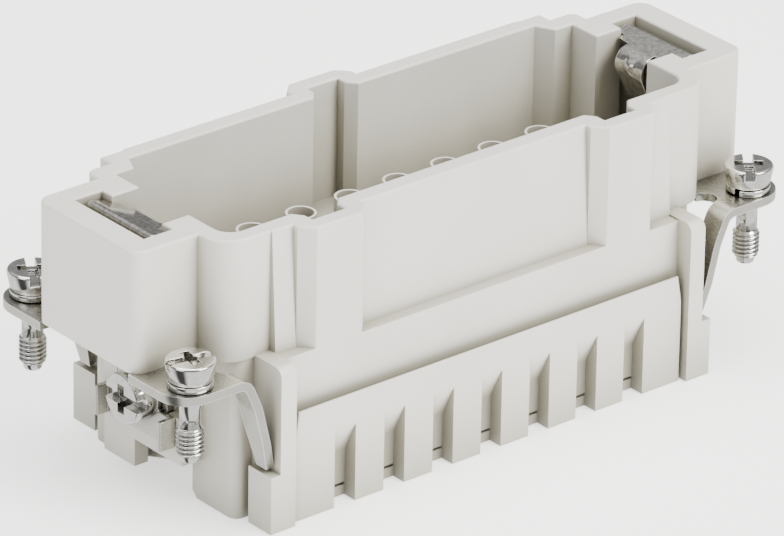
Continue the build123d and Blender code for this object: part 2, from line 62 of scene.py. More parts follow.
# Segments across a broken edge, and how sharp an edge has to be, on CAD and on own meshes
EDGE_STEPS = 2
CAD_EDGE_ANGLE = math.radians(32.0)
OWN_EDGE_ANGLE = math.radians(35.0)

# CAD meshes: gap in mm that is welded, angle between faces that are made one, and the weight
# of large faces in the shading
WELD_GAP = 0.002
PLAIN_ANGLE = math.radians(0.4)
FACE_WEIGHT = 60

# Points of a thread closer than this in mm are one
MERGE_GAP = 0.0005

# Rolled 60 degree thread: its depth, the end of its crest and both ends of its root, in pitches
THREAD_DEPTH = 0.6134
CREST_END = 0.125
ROOT_START = 0.4375
ROOT_END = 0.6875

# How far the middle of a quarter round stands in from its corner, as a share of its radius
QUARTER_ROUND = 0.3


def srgb(hex_colour: str) -> tuple[float, float, float, float]:
    """Turns an sRGB hex colour into linear RGBA.

    Args:
        hex_colour: Colour as "#RRGGBB".

    Returns:
        Linear red, green, blue and an alpha of 1.
    """
    channels = [int(hex_colour[i : i + 2], 16) / 255 for i in (1, 3, 5)]
    linear = [c / 12.92 if c <= 0.04045 else ((c + 0.055) / 1.055) ** 2.4 for c in channels]
    return (linear[0], linear[1], linear[2], 1.0)


def per_size(size_mm: float) -> float:
    """Gives the texture scale, in features a metre, of a pattern with features of this size."""
    return 1.0 / (size_mm * MM)


def add_node(
    tree: bpy.types.NodeTree,
    kind: str,
    inputs: dict | None = None,
    stops: list[tuple[float, object]] | None = None,
    **settings: object,
) -> bpy.types.Node:
    """Adds one node with its settings, input values, incoming links and ramp stops.

    Args:
        tree: Node tree that gets the node.
        kind: Blender's type name of the node.
        inputs: Socket name or index to a value, or to the output socket that feeds it.
        stops: Positions on the node's own ramp, each with a grey level or a linear colour.
        **settings: Attributes of the node, such as operation or blend_type.

    Returns:
        The new node.
    """
    node = tree.nodes.new(kind)
    for name, value in settings.items():
        setattr(node, name, value)
    for key, value in (inputs or {}).items():
        socket = node.inputs[key]
        if isinstance(value, bpy.types.NodeSocket):
            tree.links.new(value, socket)
        else:
            socket.default_value = value
    if stops:
        elements = node.color_ramp.elements
        while len(elements) < len(stops):
            elements.new(0.5)
        for element, (position, colour) in zip(elements, stops):
            element.position = position
            element.color = (colour, colour, colour, 1.0) if isinstance(colour, float) else colour
    return node


def blank_material(name: str) -> tuple[bpy.types.Material, bpy.types.Node, bpy.types.NodeSocket]:
    """Makes a material with a surface shader and the object's own coordinates.

    Args:
        name: Name of the material.

    Returns:
        The material, its Principled shader and the object coordinate socket.
    """
    material = bpy.data.materials.new(name)
    material.use_nodes = True
    tree = material.node_tree
    shader = tree.nodes["Principled BSDF"]
    coordinates = add_node(tree, "ShaderNodeTexCoord")
    return material, shader, coordinates.outputs["Object"]


class Grain(Enum):
    """Direction of the rolling or turning lines on a metal."""

    ALONG_X = (0.08, 1.0, 1.0)
    ALONG_Y = (1.0, 0.08, 1.0)


@dataclass(frozen=True)
class MouldedPolycarbonate:
    """Glass filled polycarbonate, injection moulded in an evenly blasted tool.

    To the eye it is a warm light grey with a satin bloom: the fine tool texture breaks up every
    highlight, and slow flow variation keeps the broad walls from looking painted. Shade is
    painted into the colour in the hollows, which turns the grey warmer and darker there.
    """

    name: str = "grey_polycarbonate_moulded"
    colour: str = "#D6D4CD"
    shade: str = "#CFCDC5"
    roughness: float = 0.42
    roughness_fall: float = 0.05
    roughness_rise: float = 0.07
    ior: float = 1.58
    flow_mm: float = 14.0
    flow_span: tuple[float, float] = (0.3, 0.7)
    # The tool's grit is near 0.03 mm, too fine for the render, so it is drawn at 0.22 mm
    grit_mm: float = 0.22
    grit_span: tuple[float, float] = (0.3, 0.7)
    grit_depth_mm: float = 0.006
    grit_strength: float = 0.35
    # Painted shade in the hollows: how far the occlusion reaches in mm, and the colours it paints
    hollow_shade_mm: float = 14.0
    hollow_shade: str = "#C4C0B3"
    deep_shade: str = "#8E8C84"
    # Painted shade: shares of open space at which the colour has its darkest shade, its lighter
    # shade and its full tone
    hollow_shade_span: tuple[float, float, float] = (0.08, 0.38, 0.88)

    def material(self) -> bpy.types.Material:
        """Builds the moulded plastic.

        Returns:
            The finished material.
        """
        material, shader, place = blank_material(self.name)
        tree = material.node_tree
        flow = add_node(
            tree,
            "ShaderNodeTexNoise",
            {"Vector": place, "Scale": per_size(self.flow_mm), "Detail": 3.0, "Roughness": 0.45},
        )
        resin = add_node(
            tree,
            "ShaderNodeValToRGB",
            {"Fac": flow.outputs["Fac"]},
            stops=list(zip(self.flow_span, (srgb(self.shade), srgb(self.colour)))),
        )
        # Painted shade: occlusion darkens and warms the colour in hollows, corners and recesses
        open_space = add_node(
            tree,
            "ShaderNodeAmbientOcclusion",
            {"Distance": self.hollow_shade_mm * MM},
            samples=OCCLUSION_RAYS,
        )
        depth = add_node(
            tree,
            "ShaderNodeValToRGB",
            {"Fac": open_space.outputs["AO"]},
            stops=list(zip(self.hollow_shade_span, (srgb(self.deep_shade), srgb(self.hollow_shade), 1.0))),
        )
        tone = add_node(
            tree,
            "ShaderNodeMix",
            {
                MIX_FACTOR: 1.0,
                MIX_FIRST: resin.outputs["Color"],
                MIX_SECOND: depth.outputs["Color"],
            },
            data_type="RGBA",
            blend_type="MULTIPLY",
        )
        grit = add_node(
            tree,
            "ShaderNodeTexNoise",
            {"Vector": place, "Scale": per_size(self.grit_mm), "Detail": 2.0, "Roughness": 0.6},
        )
        gloss = add_node(
            tree,
            "ShaderNodeMapRange",
            {
                "Value": grit.outputs["Fac"],
                "From Min": self.grit_span[0],
                "From Max": self.grit_span[1],
                "To Min": self.roughness - self.roughness_fall,
                "To Max": self.roughness + self.roughness_rise,
            },
        )
        bump = add_node(
            tree,
            "ShaderNodeBump",
            {
                "Strength": self.grit_strength,
                "Distance": self.grit_depth_mm * MM,
                "Height": grit.outputs["Fac"],
            },
        )
        shader.inputs["IOR"].default_value = self.ior
        tree.links.new(tone.outputs[MIX_RESULT], shader.inputs["Base Color"])
        tree.links.new(gloss.outputs["Result"], shader.inputs["Roughness"])
        tree.links.new(bump.outputs["Normal"], shader.inputs["Normal"])
        return material


@dataclass(frozen=True)
class PlatedMetal:
    """Steel with a nickel or zinc plate over it, rolled, turned or blanked.

    To the eye it is a warm silver whose reflections are drawn out along the grain and clouded by
    small changes of gloss where the plate is thinner. A highlight is painted lighter along the
    edges, and shade is painted darker into the creases.
    creases are duller.
    """

    name: str
    colour: str
    dull: str
    roughness: float
    spread: float
    grain: Grain
    grain_mm: float
    cloud_mm: float
    depth_mm: float
    cloud_span: tuple[float, float] = (0.3, 0.62)
    gloss_span: tuple[float, float] = (0.7, 1.3)
    grain_strength: float = 0.3
    # Painted shade in creases: how far it reaches in mm, its darkest tone, and the shares of open
    # space at which a crease has that tone and the plate's full one
    crease_shade_mm: float = 0.3
    crease_shade_tone: float = 0.3
    crease_shade_span: tuple[float, float] = (0.25, 0.85)
    # Painted edge highlight: how far it reaches in mm, its colour, and the shares of metal around a
    # point at which the colour is fully lightened and not at all
    edge_highlight_mm: float = 0.2
    edge: str = "#FFFFFB"
    edge_highlight_span: tuple[float, float] = (0.5, 0.85)

    def material(self) -> bpy.types.Material:
        """Builds the plated metal.

        Returns:
            The finished material.
        """
        material, shader, place = blank_material(self.name)
        tree = material.node_tree
        stretch = add_node(
            tree, "ShaderNodeMapping", {"Vector": place, "Scale": self.grain.value}
        )
        lines = add_node(
            tree,
            "ShaderNodeTexNoise",
            {
                "Vector": stretch.outputs["Vector"],
                "Scale": per_size(self.grain_mm),
                "Detail": 3.0,
                "Roughness": 0.6,
            },
        )
        cloud = add_node(
            tree,
            "ShaderNodeTexNoise",
            {"Vector": place, "Scale": per_size(self.cloud_mm), "Detail": 4.0, "Roughness": 0.6},
        )
        plate = add_node(
            tree,
            "ShaderNodeValToRGB",
            {"Fac": cloud.outputs["Fac"]},
            stops=list(zip(self.cloud_span, (srgb(self.dull), srgb(self.colour)))),
        )
        # Painted shade: occlusion darkens the plate's colour in creases and recesses
        crease = add_node(
            tree,
            "ShaderNodeAmbientOcclusion",
            {"Distance": self.crease_shade_mm * MM},
            samples=OCCLUSION_RAYS,
        )
        shade = add_node(
            tree,
            "ShaderNodeValToRGB",
            {"Fac": crease.outputs["AO"]},
            stops=list(zip(self.crease_shade_span, (self.crease_shade_tone, 1.0))),
        )
        crease_shaded = add_node(
            tree,
            "ShaderNodeMix",
            {
                MIX_FACTOR: 1.0,
                MIX_FIRST: plate.outputs["Color"],
                MIX_SECOND: shade.outputs["Color"],
            },
            data_type="RGBA",
            blend_type="MULTIPLY",
        )
        # Painted highlight: the colour turns near white where little metal lies around a point,
        # along edges
        near_edge = add_node(
            tree,
            "ShaderNodeAmbientOcclusion",
            {"Distance": self.edge_highlight_mm * MM},
            samples=OCCLUSION_RAYS,
            inside=True,
        )
        painted_edge_highlight = add_node(
            tree,
            "ShaderNodeValToRGB",
            {"Fac": near_edge.outputs["AO"]},
            stops=list(zip(self.edge_highlight_span, (1.0, 0.0))),
        )
        tone = add_node(
            tree,
            "ShaderNodeMix",
            {
                MIX_FACTOR: painted_edge_highlight.outputs["Color"],
                MIX_FIRST: crease_shaded.outputs[MIX_RESULT],
                MIX_SECOND: srgb(self.edge),
            },
            data_type="RGBA",
        )
        both = add_node(
            tree,
            "ShaderNodeMath",
            {0: lines.outputs["Fac"], 1: cloud.outputs["Fac"]},
            operation="ADD",
        )
        gloss = add_node(
            tree,
            "ShaderNodeMapRange",
            {
                "Value": both.outputs["Value"],
                "From Min": self.gloss_span[0],
                "From Max": self.gloss_span[1],
                "To Min": self.roughness - self.spread,
                "To Max": self.roughness + self.spread,
            },
        )
        bump = add_node(
            tree,
            "ShaderNodeBump",
            {
                "Strength": self.grain_strength,
                "Distance": self.depth_mm * MM,
                "Height": lines.outputs["Fac"],
            },
        )
        shader.inputs["Metallic"].default_value = 1.0
        tree.links.new(tone.outputs[MIX_RESULT], shader.inputs["Base Color"])
        tree.links.new(gloss.outputs["Result"], shader.inputs["Roughness"])
        tree.links.new(bump.outputs["Normal"], shader.inputs["Normal"])
        return material


# Bracket and saddle steel: cold rolled, blanked and barrel nickel plated, so satin with soft lines
BRACKET_STEEL = PlatedMetal(
    name="nickel_plated_sheet_steel",
    colour="#CFCDC4",
    dull="#C4C2B9",
    roughness=0.27,
    spread=0.04,
    grain=Grain.ALONG_Y,
    grain_mm=0.12,
    cloud_mm=3.0,
    depth_mm=0.0015,
    crease_shade_mm=4.0,
    crease_shade_tone=0.32,
)

# Screws, washers and nuts: cold headed, thread rolled and bright zinc plated, so mirror-like
FASTENER_STEEL = PlatedMetal(
    name="bright_zinc_plated_steel",
    colour="#E2E1DC",
    dull="#CFCEC8",
    roughness=0.13,
    spread=0.06,
    grain=Grain.ALONG_X,
    grain_mm=0.2,
    cloud_mm=0.9,
    depth_mm=0.004,
    crease_shade_mm=0.8,
    crease_shade_tone=0.15,
)

# Earth springs: stainless strip, cold rolled hard, bright with a speckled grain on the flat
SPRING_STEEL = PlatedMetal(
    name="rolled_stainless_spring_strip",
    colour="#D2D0CA",
    dull="#9E9C96",
    roughness=0.14,
    spread=0.06,
    grain=Grain.ALONG_Y,
    grain_mm=0.18,
    cloud_mm=0.45,
    depth_mm=0.002,
)


@dataclass(frozen=True)
class StudioPaper:
    """Matt white paper lit from behind: it lifts the shadows and gives the pale floor no gloss."""

    name: str = "matt_white_paper"
    colour: str = "#F8F8F7"
    fibre: str = "#F5F5F4"
    fibre_mm: float = 1.5
    fibre_span: tuple[float, float] = (0.2, 0.8)
    roughness: float = 0.9
    specular: float = 0.1
    backlight: float = 1.3

    def material(self) -> bpy.types.Material:
        """Builds the paper.

        Returns:
            The finished material.
        """
        material, shader, place = blank_material(self.name)
        tree = material.node_tree
        fibre = add_node(
            tree,
            "ShaderNodeTexNoise",
            {"Vector": place, "Scale": per_size(self.fibre_mm), "Detail": 2.0},
        )
        tone = add_node(
            tree,
            "ShaderNodeValToRGB",
            {"Fac": fibre.outputs["Fac"]},
            stops=list(zip(self.fibre_span, (srgb(self.fibre), srgb(self.colour)))),
        )
        shader.inputs["Roughness"].default_value = self.roughness
        shader.inputs["Specular IOR Level"].default_value = self.specular
        shader.inputs["Emission Strength"].default_value = self.backlight
        tree.links.new(tone.outputs["Color"], shader.inputs["Emission Color"])
        tree.links.new(tone.outputs["Color"], shader.inputs["Base Color"])
        return material


def dress(node: str, material: bpy.types.Material) -> bpy.types.Object:
    """Gives a CAD node its finish.

    Args:
        node: Name of the CAD node.
        material: Finish for all of it.

    Returns:
        The node's object.
    """
    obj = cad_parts[node]
    for slot in obj.material_slots:
        slot.material = material
    log.info("%s: %s", node, material.name)
    return obj


def ease_edges(obj: bpy.types.Object, width_mm: float) -> None:
    """Breaks a CAD node's sharp edges with modifiers, its own mesh left as it is.

    Args:
        obj: Object that gets the modifiers.
        width_mm: Width of the broken edge.
    """
    weld = obj.modifiers.new("join_faces", "WELD")
    weld.merge_threshold = WELD_GAP * MM
    flat = obj.modifiers.new("plain_faces", "DECIMATE")
    flat.decimate_type = "DISSOLVE"
    flat.angle_limit = PLAIN_ANGLE
    bevel = obj.modifiers.new("broken_edges", "BEVEL")
    bevel.width = width_mm * MM
    bevel.segments = EDGE_STEPS
    bevel.limit_method = "ANGLE"
    bevel.angle_limit = CAD_EDGE_ANGLE
    bevel.use_clamp_overlap = True
    bevel.miter_outer = "MITER_ARC"
    even = obj.modifiers.new("even_shading", "WEIGHTED_NORMAL")
    even.weight = FACE_WEIGHT


def object_from(
    name: str, shape: bmesh.types.BMesh, material: bpy.types.Material, smooth: bool = True
) -> bpy.types.Object:
    """Turns a bmesh into an object with a finish.

    Args:
        name: Name of the piece.
        shape: Mesh in metres, freed here.
        material: Finish of the piece.
        smooth: Whether its faces are shaded smooth.

    Returns:
        The new object, linked to the scene.
    """
    mesh = bpy.data.meshes.new(name)
    for face in shape.faces:
        face.smooth = smooth
    bmesh.ops.recalc_face_normals(shape, faces=shape.faces)
    shape.to_mesh(mesh)
    shape.free()
    mesh.materials.append(material)
    obj = bpy.data.objects.new(name, mesh)
    bpy.context.scene.collection.objects.link(obj)
    return obj


def apply_modifiers(obj: bpy.types.Object) -> None:
    """Applies an object's modifiers to its mesh.

    Args:
        obj: Object of this script's own.
    """
    graph = bpy.context.evaluated_depsgraph_get()
    mesh = bpy.data.meshes.new_from_object(obj.evaluated_get(graph))
    old = obj.data
    obj.modifiers.clear()
    obj.data = mesh
    bpy.data.meshes.remove(old)


def break_edges(obj: bpy.types.Object, width_mm: float) -> None:
    """Breaks the sharp edges of a mesh for good and evens its shading.

    Args:
        obj: Object of this script's own.
        width_mm: Width of the broken edge.
    """
    bevel = obj.modifiers.new("broken_edges", "BEVEL")
    bevel.width = width_mm * MM
    bevel.segments = EDGE_STEPS
    bevel.limit_method = "ANGLE"
    bevel.angle_limit = OWN_EDGE_ANGLE
    obj.modifiers.new("even_shading", "WEIGHTED_NORMAL")
    apply_modifiers(obj)


def on_circle(centre: tuple[float, float], radius: float, angle: float) -> tuple[float, float]:
    """Gives the point of a circle at this angle."""
    return centre[0] + radius * math.cos(angle), centre[1] + radius * math.sin(angle)


def around_axis(radius: float, angle: float, height: float) -> tuple[float, float, float]:
    """Gives the point in metres at this radius in mm, angle and height in mm about Z."""
    return radius * MM * math.cos(angle), radius * MM * math.sin(angle), height * MM


def lathe(shape: bmesh.types.BMesh, outline: list[tuple[float, float]], steps: int) -> None:
    """Adds a closed turned body around Z.

    Args:
        shape: Mesh that gets the body.
        outline: Radius and height pairs in mm, from the bottom to the top, both off the axis.
        steps: Sides around.
    """
    rings = [
        [
            shape.verts.new(around_axis(radius, 2 * math.pi * k / steps, height))
            for k in range(steps)
        ]
        for radius, height in outline
    ]
    for low, high in zip(rings, rings[1:]):
        for k in range(steps):
            n = (k + 1) % steps
            shape.faces.new((low[k], low[n], high[n], high[k]))
    shape.faces.new(rings[0][::-1])
    shape.faces.new(rings[-1])


def block(
    shape: bmesh.types.BMesh,
    size: tuple[float, float, float],
    centre: tuple[float, float, float],
    turn: float = 0.0,
) -> None:
    """Adds a box, used to cut recesses.

    Args:
        shape: Mesh that gets the box.
        size: Sides in mm.
        centre: Middle in mm.
        turn: Turn about Z in degrees.
    """
    scale = Matrix.Diagonal((size[0] * MM, size[1] * MM, size[2] * MM, 1.0))
    place = Matrix.Translation(Vector(centre) * MM) @ Matrix.Rotation(math.radians(turn), 4, "Z")
    bmesh.ops.create_cube(shape, size=1.0, matrix=place @ scale)


@dataclass
class Mouldings:
    """Shroud body and contact holder: the CAD solids with their mould edges broken."""

    finish: MouldedPolycarbonate
    shroud_edge: float = 0.22
    holder_edge: float = 0.18

    def build(self) -> None:
        """Dresses both mouldings."""
        material = self.finish.material()
        ease_edges(dress("shroud_body", material), self.shroud_edge)
        ease_edges(dress("contact_holder", material), self.holder_edge)


@dataclass
class SheetParts:
    """Brackets, terminal saddles and nuts: blanked pieces with a slightly rolled edge."""

    sheet: PlatedMetal
    fastener: PlatedMetal
    sheared_edge: float = 0.16
    nut_edge: float = 0.15

    def build(self) -> None:
        """Dresses the brackets, saddles and nuts of both ends."""
        sheet = self.sheet.material()
        fastener = self.fastener.material()
        for end in ("left", "right"):
            ease_edges(dress(f"bracket_{end}", sheet), self.sheared_edge)
            ease_edges(dress(f"earth_saddle_{end}", sheet), self.sheared_edge)
            ease_edges(dress(f"earth_nut_{end}", fastener), self.nut_edge)


@dataclass
class EarthLeaves:
    """Earth springs of both ends: hard strip folded over, its nose a smooth barrel with a dimple.

    The path is the strip's middle line in X and Z at the right end, from the foot over the fold
    and round the nose to the tail. The left spring is the same one turned half round.
    """

    finish: PlatedMetal
    sheet: float = 0.45
    back_x: float = 37.495
    foot: float = 18.9
    top: float = 32.125
    fold: float = 0.33
    nose: tuple[float, float] = (34.6, 29.75)
    nose_radius: float = 1.7
    tail: tuple[float, float] = (36.295, 22.695)
    shoulder: float = 27.0
    neck_x: float = 35.6
    nose_x: float = 34.7
    back_half: float = 4.0
    top_half: float = 5.3
    neck_half: float = 3.9
    nose_half: float = 2.2
    tail_half: float = 1.6
    step_run: float = 0.1
    dimple_turn: float = math.radians(166.0)
    dimple_radius: float = 1.15
    dimple_height: float = 0.28
    barrel_slack: float = 0.01
    fold_steps: int = 8
    nose_steps: int = 24
    columns: int = 28
    edge: float = 0.07

    def bends(self) -> tuple[float, float]:
        """Gives the angles about the nose's centre where its barrel starts and ends.

        Returns:
            Start and end in radians, the end past the start.
        """
        over = (self.back_x - self.nose[0], self.top - self.nose[1])
        under = (self.tail[0] - self.nose[0], self.tail[1] - self.nose[1])
        start = math.atan2(over[1], over[0]) + math.acos(self.nose_radius / math.hypot(*over))
        stop = math.atan2(under[1], under[0]) - math.acos(self.nose_radius / math.hypot(*under))
        return start, stop + 2 * math.pi

    def path(self) -> list[tuple[float, float, float]]:
        """Gives the strip's stations from the foot to the tail.

        Returns:
            Middle line as X and Z with the half width there, in mm.
        """
        start, stop = self.bends()
        lean = (math.cos(start), math.sin(start))

        def flat(x: float, reach: float) -> float:
            """Gives the height at x of the flat's line, at this reach from the nose's centre."""
            return self.nose[1] + (reach - lean[0] * (x - self.nose[0])) / lean[1]

        fold_x = self.back_x - self.fold
        fold = (fold_x, flat(fold_x, self.nose_radius - self.fold))
        stations = [
            (self.back_x, self.foot, self.back_half),
            (self.back_x, self.shoulder - self.step_run, self.back_half),
            (self.back_x, self.shoulder + self.step_run, self.top_half),
        ]
        for k in range(self.fold_steps + 1):
            turn = start * k / self.fold_steps
            stations.append((*on_circle(fold, self.fold, turn), self.top_half))
        for x, before, after in (
            (self.neck_x, self.top_half, self.neck_half),
            (self.nose_x, self.neck_half, self.nose_half),
        ):
            for shift, half in ((self.step_run, before), (-self.step_run, after)):
                stations.append((x + shift, flat(x + shift, self.nose_radius), half))
        for k in range(self.nose_steps + 1):
            turn = start + (stop - start) * k / self.nose_steps
            stations.append((*on_circle(self.nose, self.nose_radius, turn), self.nose_half))
        stations.append((*self.tail, self.tail_half))
        return stations

    def dimple(self, x: float, y: float, z: float) -> float:
        """Gives how far the pressed dimple pushes one point of the strip outwards.

        Args:
            x: Place of the point along the part in mm.
            y: Place across the part in mm.
            z: Height in mm.

        Returns:
            The push in mm, none off the barrel or beyond the dimple's radius.
        """
        turn = math.atan2(z - self.nose[1], x - self.nose[0]) % (2 * math.pi)
        along = self.nose_radius * (turn - self.dimple_turn)
        away = min(math.hypot(along, y) / self.dimple_radius, 1.0)
        off_barrel = abs(math.hypot(x - self.nose[0], z - self.nose[1]) - self.nose_radius)
        if off_barrel >= self.barrel_slack:
            return 0.0
        return self.dimple_height * (1 + math.cos(math.pi * away)) / 2

    def skins(self, shape: bmesh.types.BMesh) -> tuple[list, list]:
        """Adds the points of the strip's two skins.

        Args:
            shape: Mesh that gets the points.

        Returns:
            Outer and inner skin, each a row of points for every station.
        """
        path = self.path()
        skins = ([], [])
        for i, (x, z, half) in enumerate(path):
            before = path[max(i - 1, 0)]
            after = path[min(i + 1, len(path) - 1)]
            run = Vector((after[0] - before[0], after[1] - before[1])).normalized()
            for skin, side in zip(skins, (1, -1)):
                row = []
                for j in range(self.columns + 1):
                    y = half * (2 * j / self.columns - 1)
                    out = side * self.sheet / 2 + self.dimple(x, y, z)
                    point = Vector((x + out * run.y, y, z - out * run.x)) * MM
                    row.append(shape.verts.new(point))
                skin.append(row)
        return skins

    def strip(self, name: str, material: bpy.types.Material) -> bpy.types.Object:
        """Builds one spring at the right end.

        Args:
            name: Name of the piece.
            material: Finish of the piece.

        Returns:
            The spring, its sheared edges broken.
        """
        shape = bmesh.new()
        outer, inner = self.skins(shape)
        last = len(outer) - 1
        for skin in (outer, inner):
            for one, two in zip(skin, skin[1:]):
                for j in range(self.columns):
                    shape.faces.new((one[j], one[j + 1], two[j + 1], two[j]))
        for j in (0, self.columns):
            for i in range(last):
                shape.faces.new((outer[i][j], outer[i + 1][j], inner[i + 1][j], inner[i][j]))
        for i in (0, last):
            for j in range(self.columns):
                shape.faces.new((outer[i][j], outer[i][j + 1], inner[i][j + 1], inner[i][j]))
        leaf = object_from(name, shape, material)
        break_edges(leaf, self.edge)
        return leaf

    def build(self) -> None:
        """Builds both springs and lets them stand for their CAD nodes."""
        material = self.finish.material()
        for end, turn in (("right", 0.0), ("left", math.pi)):
            leaf = self.strip(f"earth_leaf_{end}_strip", material)
            leaf.data.transform(Matrix.Rotation(turn, 4, "Z"))
            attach(leaf, f"leaf_{end}")
            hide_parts(f"earth_leaf_{end}")
            log.info("earth_leaf_%s: %d faces", end, len(leaf.data.polygons))


@dataclass
class Screw:
    """Combination head screw with a rolled thread, built on Z and then placed.

    Heights are measured along the screw with its head up.
    """

    seat: float
    head_diameter: float
    head_height: float
    slot: float
    shank_diameter: float
    thread_diameter: float
    pitch: float
    thread_top: float
    tip: float
    head_taper: float = 0.12
    head_round: float = 0.4
    head_edge: float = 0.07
    slot_depth_share: float = 0.5
    cross_length_share: float = 0.58
    cross_width_share: float = 0.2
    cross_depth_share: float = 0.62
    # The shank reaches this far into the head, and one shorter than least_shank is left out
    head_lap: float = 0.2
    least_shank: float = 0.5
    tip_chamfer: float = 0.3
    point_diameter: float = 2.0
    point_length: float = 0.0
    point_chamfer: float = 0.15
    # The thread ends inside the shank, this far along it and this far under its surface
    run_out: float = 0.35
    run_out_sink: float = 0.02
    sides: int = 48
    rows: int = 8
    spare_rows: int = 2

    def thread_depth(self) -> float:
        """Gives the depth of the rolled thread, for a 60 degree form."""
        return THREAD_DEPTH * self.pitch

    def thread_end(self) -> float:
        """Gives the height of the thread's lower end, above the plain point."""
        return self.tip + self.point_length

    def head(self, name: str, material: bpy.types.Material) -> bpy.types.Object:
        """Builds the head with its slot and cross recess.

        Args:
            name: Name of the piece.
            material: Finish of the piece.

        Returns:
            The head, its recess cut and its edges broken.
        """
        radius = self.head_diameter / 2
        top = self.seat + self.head_height
        inset = QUARTER_ROUND * self.head_round
        shape = bmesh.new()
        lathe(
            shape,
            [
                (radius - self.head_taper, self.seat),
                (radius, top - self.head_round),
                (radius - inset, top - inset),
                (radius - self.head_round, top),
            ],
            2 * self.sides,
        )
        head = object_from(name, shape, material)
        for turn in (0, 90):
            self._cut(
                head,
                (
                    self.cross_length_share * self.head_diameter,
                    self.cross_width_share * self.head_diameter,
                    2 * self.cross_depth_share * self.head_height,
                ),
                top,
                turn,
            )
        self._cut(
            head,
            (2 * self.head_diameter, self.slot, 2 * self.slot_depth_share * self.head_height),
            top,
            0,
        )
        break_edges(head, self.head_edge)
        return head

    def _cut(
        self, head: bpy.types.Object, size: tuple[float, float, float], top: float, turn: float
    ) -> None:
        """Cuts one box out of the head's top.

        Args:
            head: Head to cut.
            size: Sides of the box in mm.
            top: Height of the middle of the box in mm.
            turn: Turn about the screw in degrees.
        """
        shape = bmesh.new()
        block(shape, size, (0, 0, top), turn)
        cutter = object_from("recess_cutter", shape, head.data.materials[0], False)
        cut = head.modifiers.new("recess", "BOOLEAN")
        cut.operation = "DIFFERENCE"
        cut.solver = "EXACT"
        cut.object = cutter
        apply_modifiers(head)
        mesh = cutter.data
        bpy.data.objects.remove(cutter)
        bpy.data.meshes.remove(mesh)

    def stem(self, name: str, material: bpy.types.Material) -> bpy.types.Object:
        """Builds the plain shank and the helical thread.

        Args:
            name: Name of the piece.
            material: Finish of the piece.

        Returns:
            The stem.
        """
        shape = bmesh.new()
        if self.thread_top < self.seat - self.least_shank:
            radius = self.shank_diameter / 2
            lathe(
                shape,
                [(radius, self.thread_top - self.run_out), (radius, self.seat + self.head_lap)],
                self.sides,
            )
        if self.point_length > 0:
            radius = self.point_diameter / 2
            lathe(
                shape,
                [
                    (radius - self.point_chamfer, self.tip),
                    (radius, self.tip + self.point_chamfer),
                    (radius, self.thread_end() + self.tip_chamfer),
                ],
                self.sides,
            )
        self._thread(shape)
        return object_from(name, shape, material)

    def _thread(self, shape: bmesh.types.BMesh) -> None:
        """Adds the thread as a grid skewed by one pitch a turn, closed at both ends.

        Args:
            shape: Mesh that gets the thread.
        """
        crest = self.thread_diameter / 2
        root = crest - self.thread_depth()
        start = int(self.thread_end() / self.pitch * self.rows) - self.rows - self.spare_rows
        stop = int(self.thread_top / self.pitch * self.rows) + self.spare_rows
        grid = []
        for k in range(start, stop + self.rows + 1):
            row = []
            for j in range(self.sides):
                height = (k / self.rows + j / self.sides) * self.pitch
                height = min(max(height, self.thread_end()), self.thread_top)
                radius = self._radius(k, height, crest, root)
                angle = 2 * math.pi * j / self.sides
                row.append(shape.verts.new(around_axis(radius, angle, height)))
            grid.append(row)
        for i in range(len(grid) - 1 - self.rows):
            for j in range(self.sides):
                up, n = (0, j + 1) if j + 1 < self.sides else (self.rows, 0)
                shape.faces.new(
                    (grid[i][j], grid[i + up][n], grid[i + up + 1][n], grid[i + 1][j])
                )
        bmesh.ops.remove_doubles(shape, verts=shape.verts, dist=MERGE_GAP * MM)
        bmesh.ops.dissolve_degenerate(shape, edges=shape.edges, dist=MERGE_GAP * MM)
        loose = [v for v in shape.verts if not v.link_faces]
        bmesh.ops.delete(shape, geom=loose, context="VERTS")
        open_edges = [e for e in shape.edges if e.is_boundary]
        if open_edges:
            bmesh.ops.holes_fill(shape, edges=open_edges, sides=0)

    def _radius(self, k: int, height: float, crest: float, root: float) -> float:
        """Gives the thread's radius at one row, eased off at the tip and the run-out.

        Args:
            k: Row number, with a whole thread every self.rows rows.
            height: Height along the screw in mm.
            crest: Outer radius in mm.
            root: Inner radius in mm.

        Returns:
            Radius in mm.
        """
        share = (k % self.rows) / self.rows
        if share < CREST_END:
            radius = crest
        elif share < ROOT_START:
            radius = crest - (crest - root) * (share - CREST_END) / (ROOT_START - CREST_END)
        elif share < ROOT_END:
            radius = root
        else:
            radius = root + (crest - root) * (share - ROOT_END) / (1 - ROOT_END)
        at_tip = crest - self.tip_chamfer + (height - self.thread_end())
        at_top = self.shank_diameter / 2 - self.run_out_sink + (self.thread_top - height)
        return min(radius, at_tip, at_top)

    def build(
        self, name: str, body: str, place: Matrix, material: bpy.types.Material, slot: str
    ) -> None:
        """Builds the screw, places it and lets it stand for its CAD node.

        Args:
            name: CAD node it stands for, and the start of its own names.
            body: CAD body it rides on.
            place: Where the screw's own frame goes, in metres.
            material: Finish of the piece.
            slot: Record slot of the finish; not used.
        """
        for part, obj in (
            ("head", self.head(f"{name}_head", material)),
            ("stem", self.stem(f"{name}_stem", material)),
        ):
            obj.data.transform(place)
            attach(obj, body)
            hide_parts(name)
            log.info("%s %s: %d faces", name, part, len(obj.data.polygons))


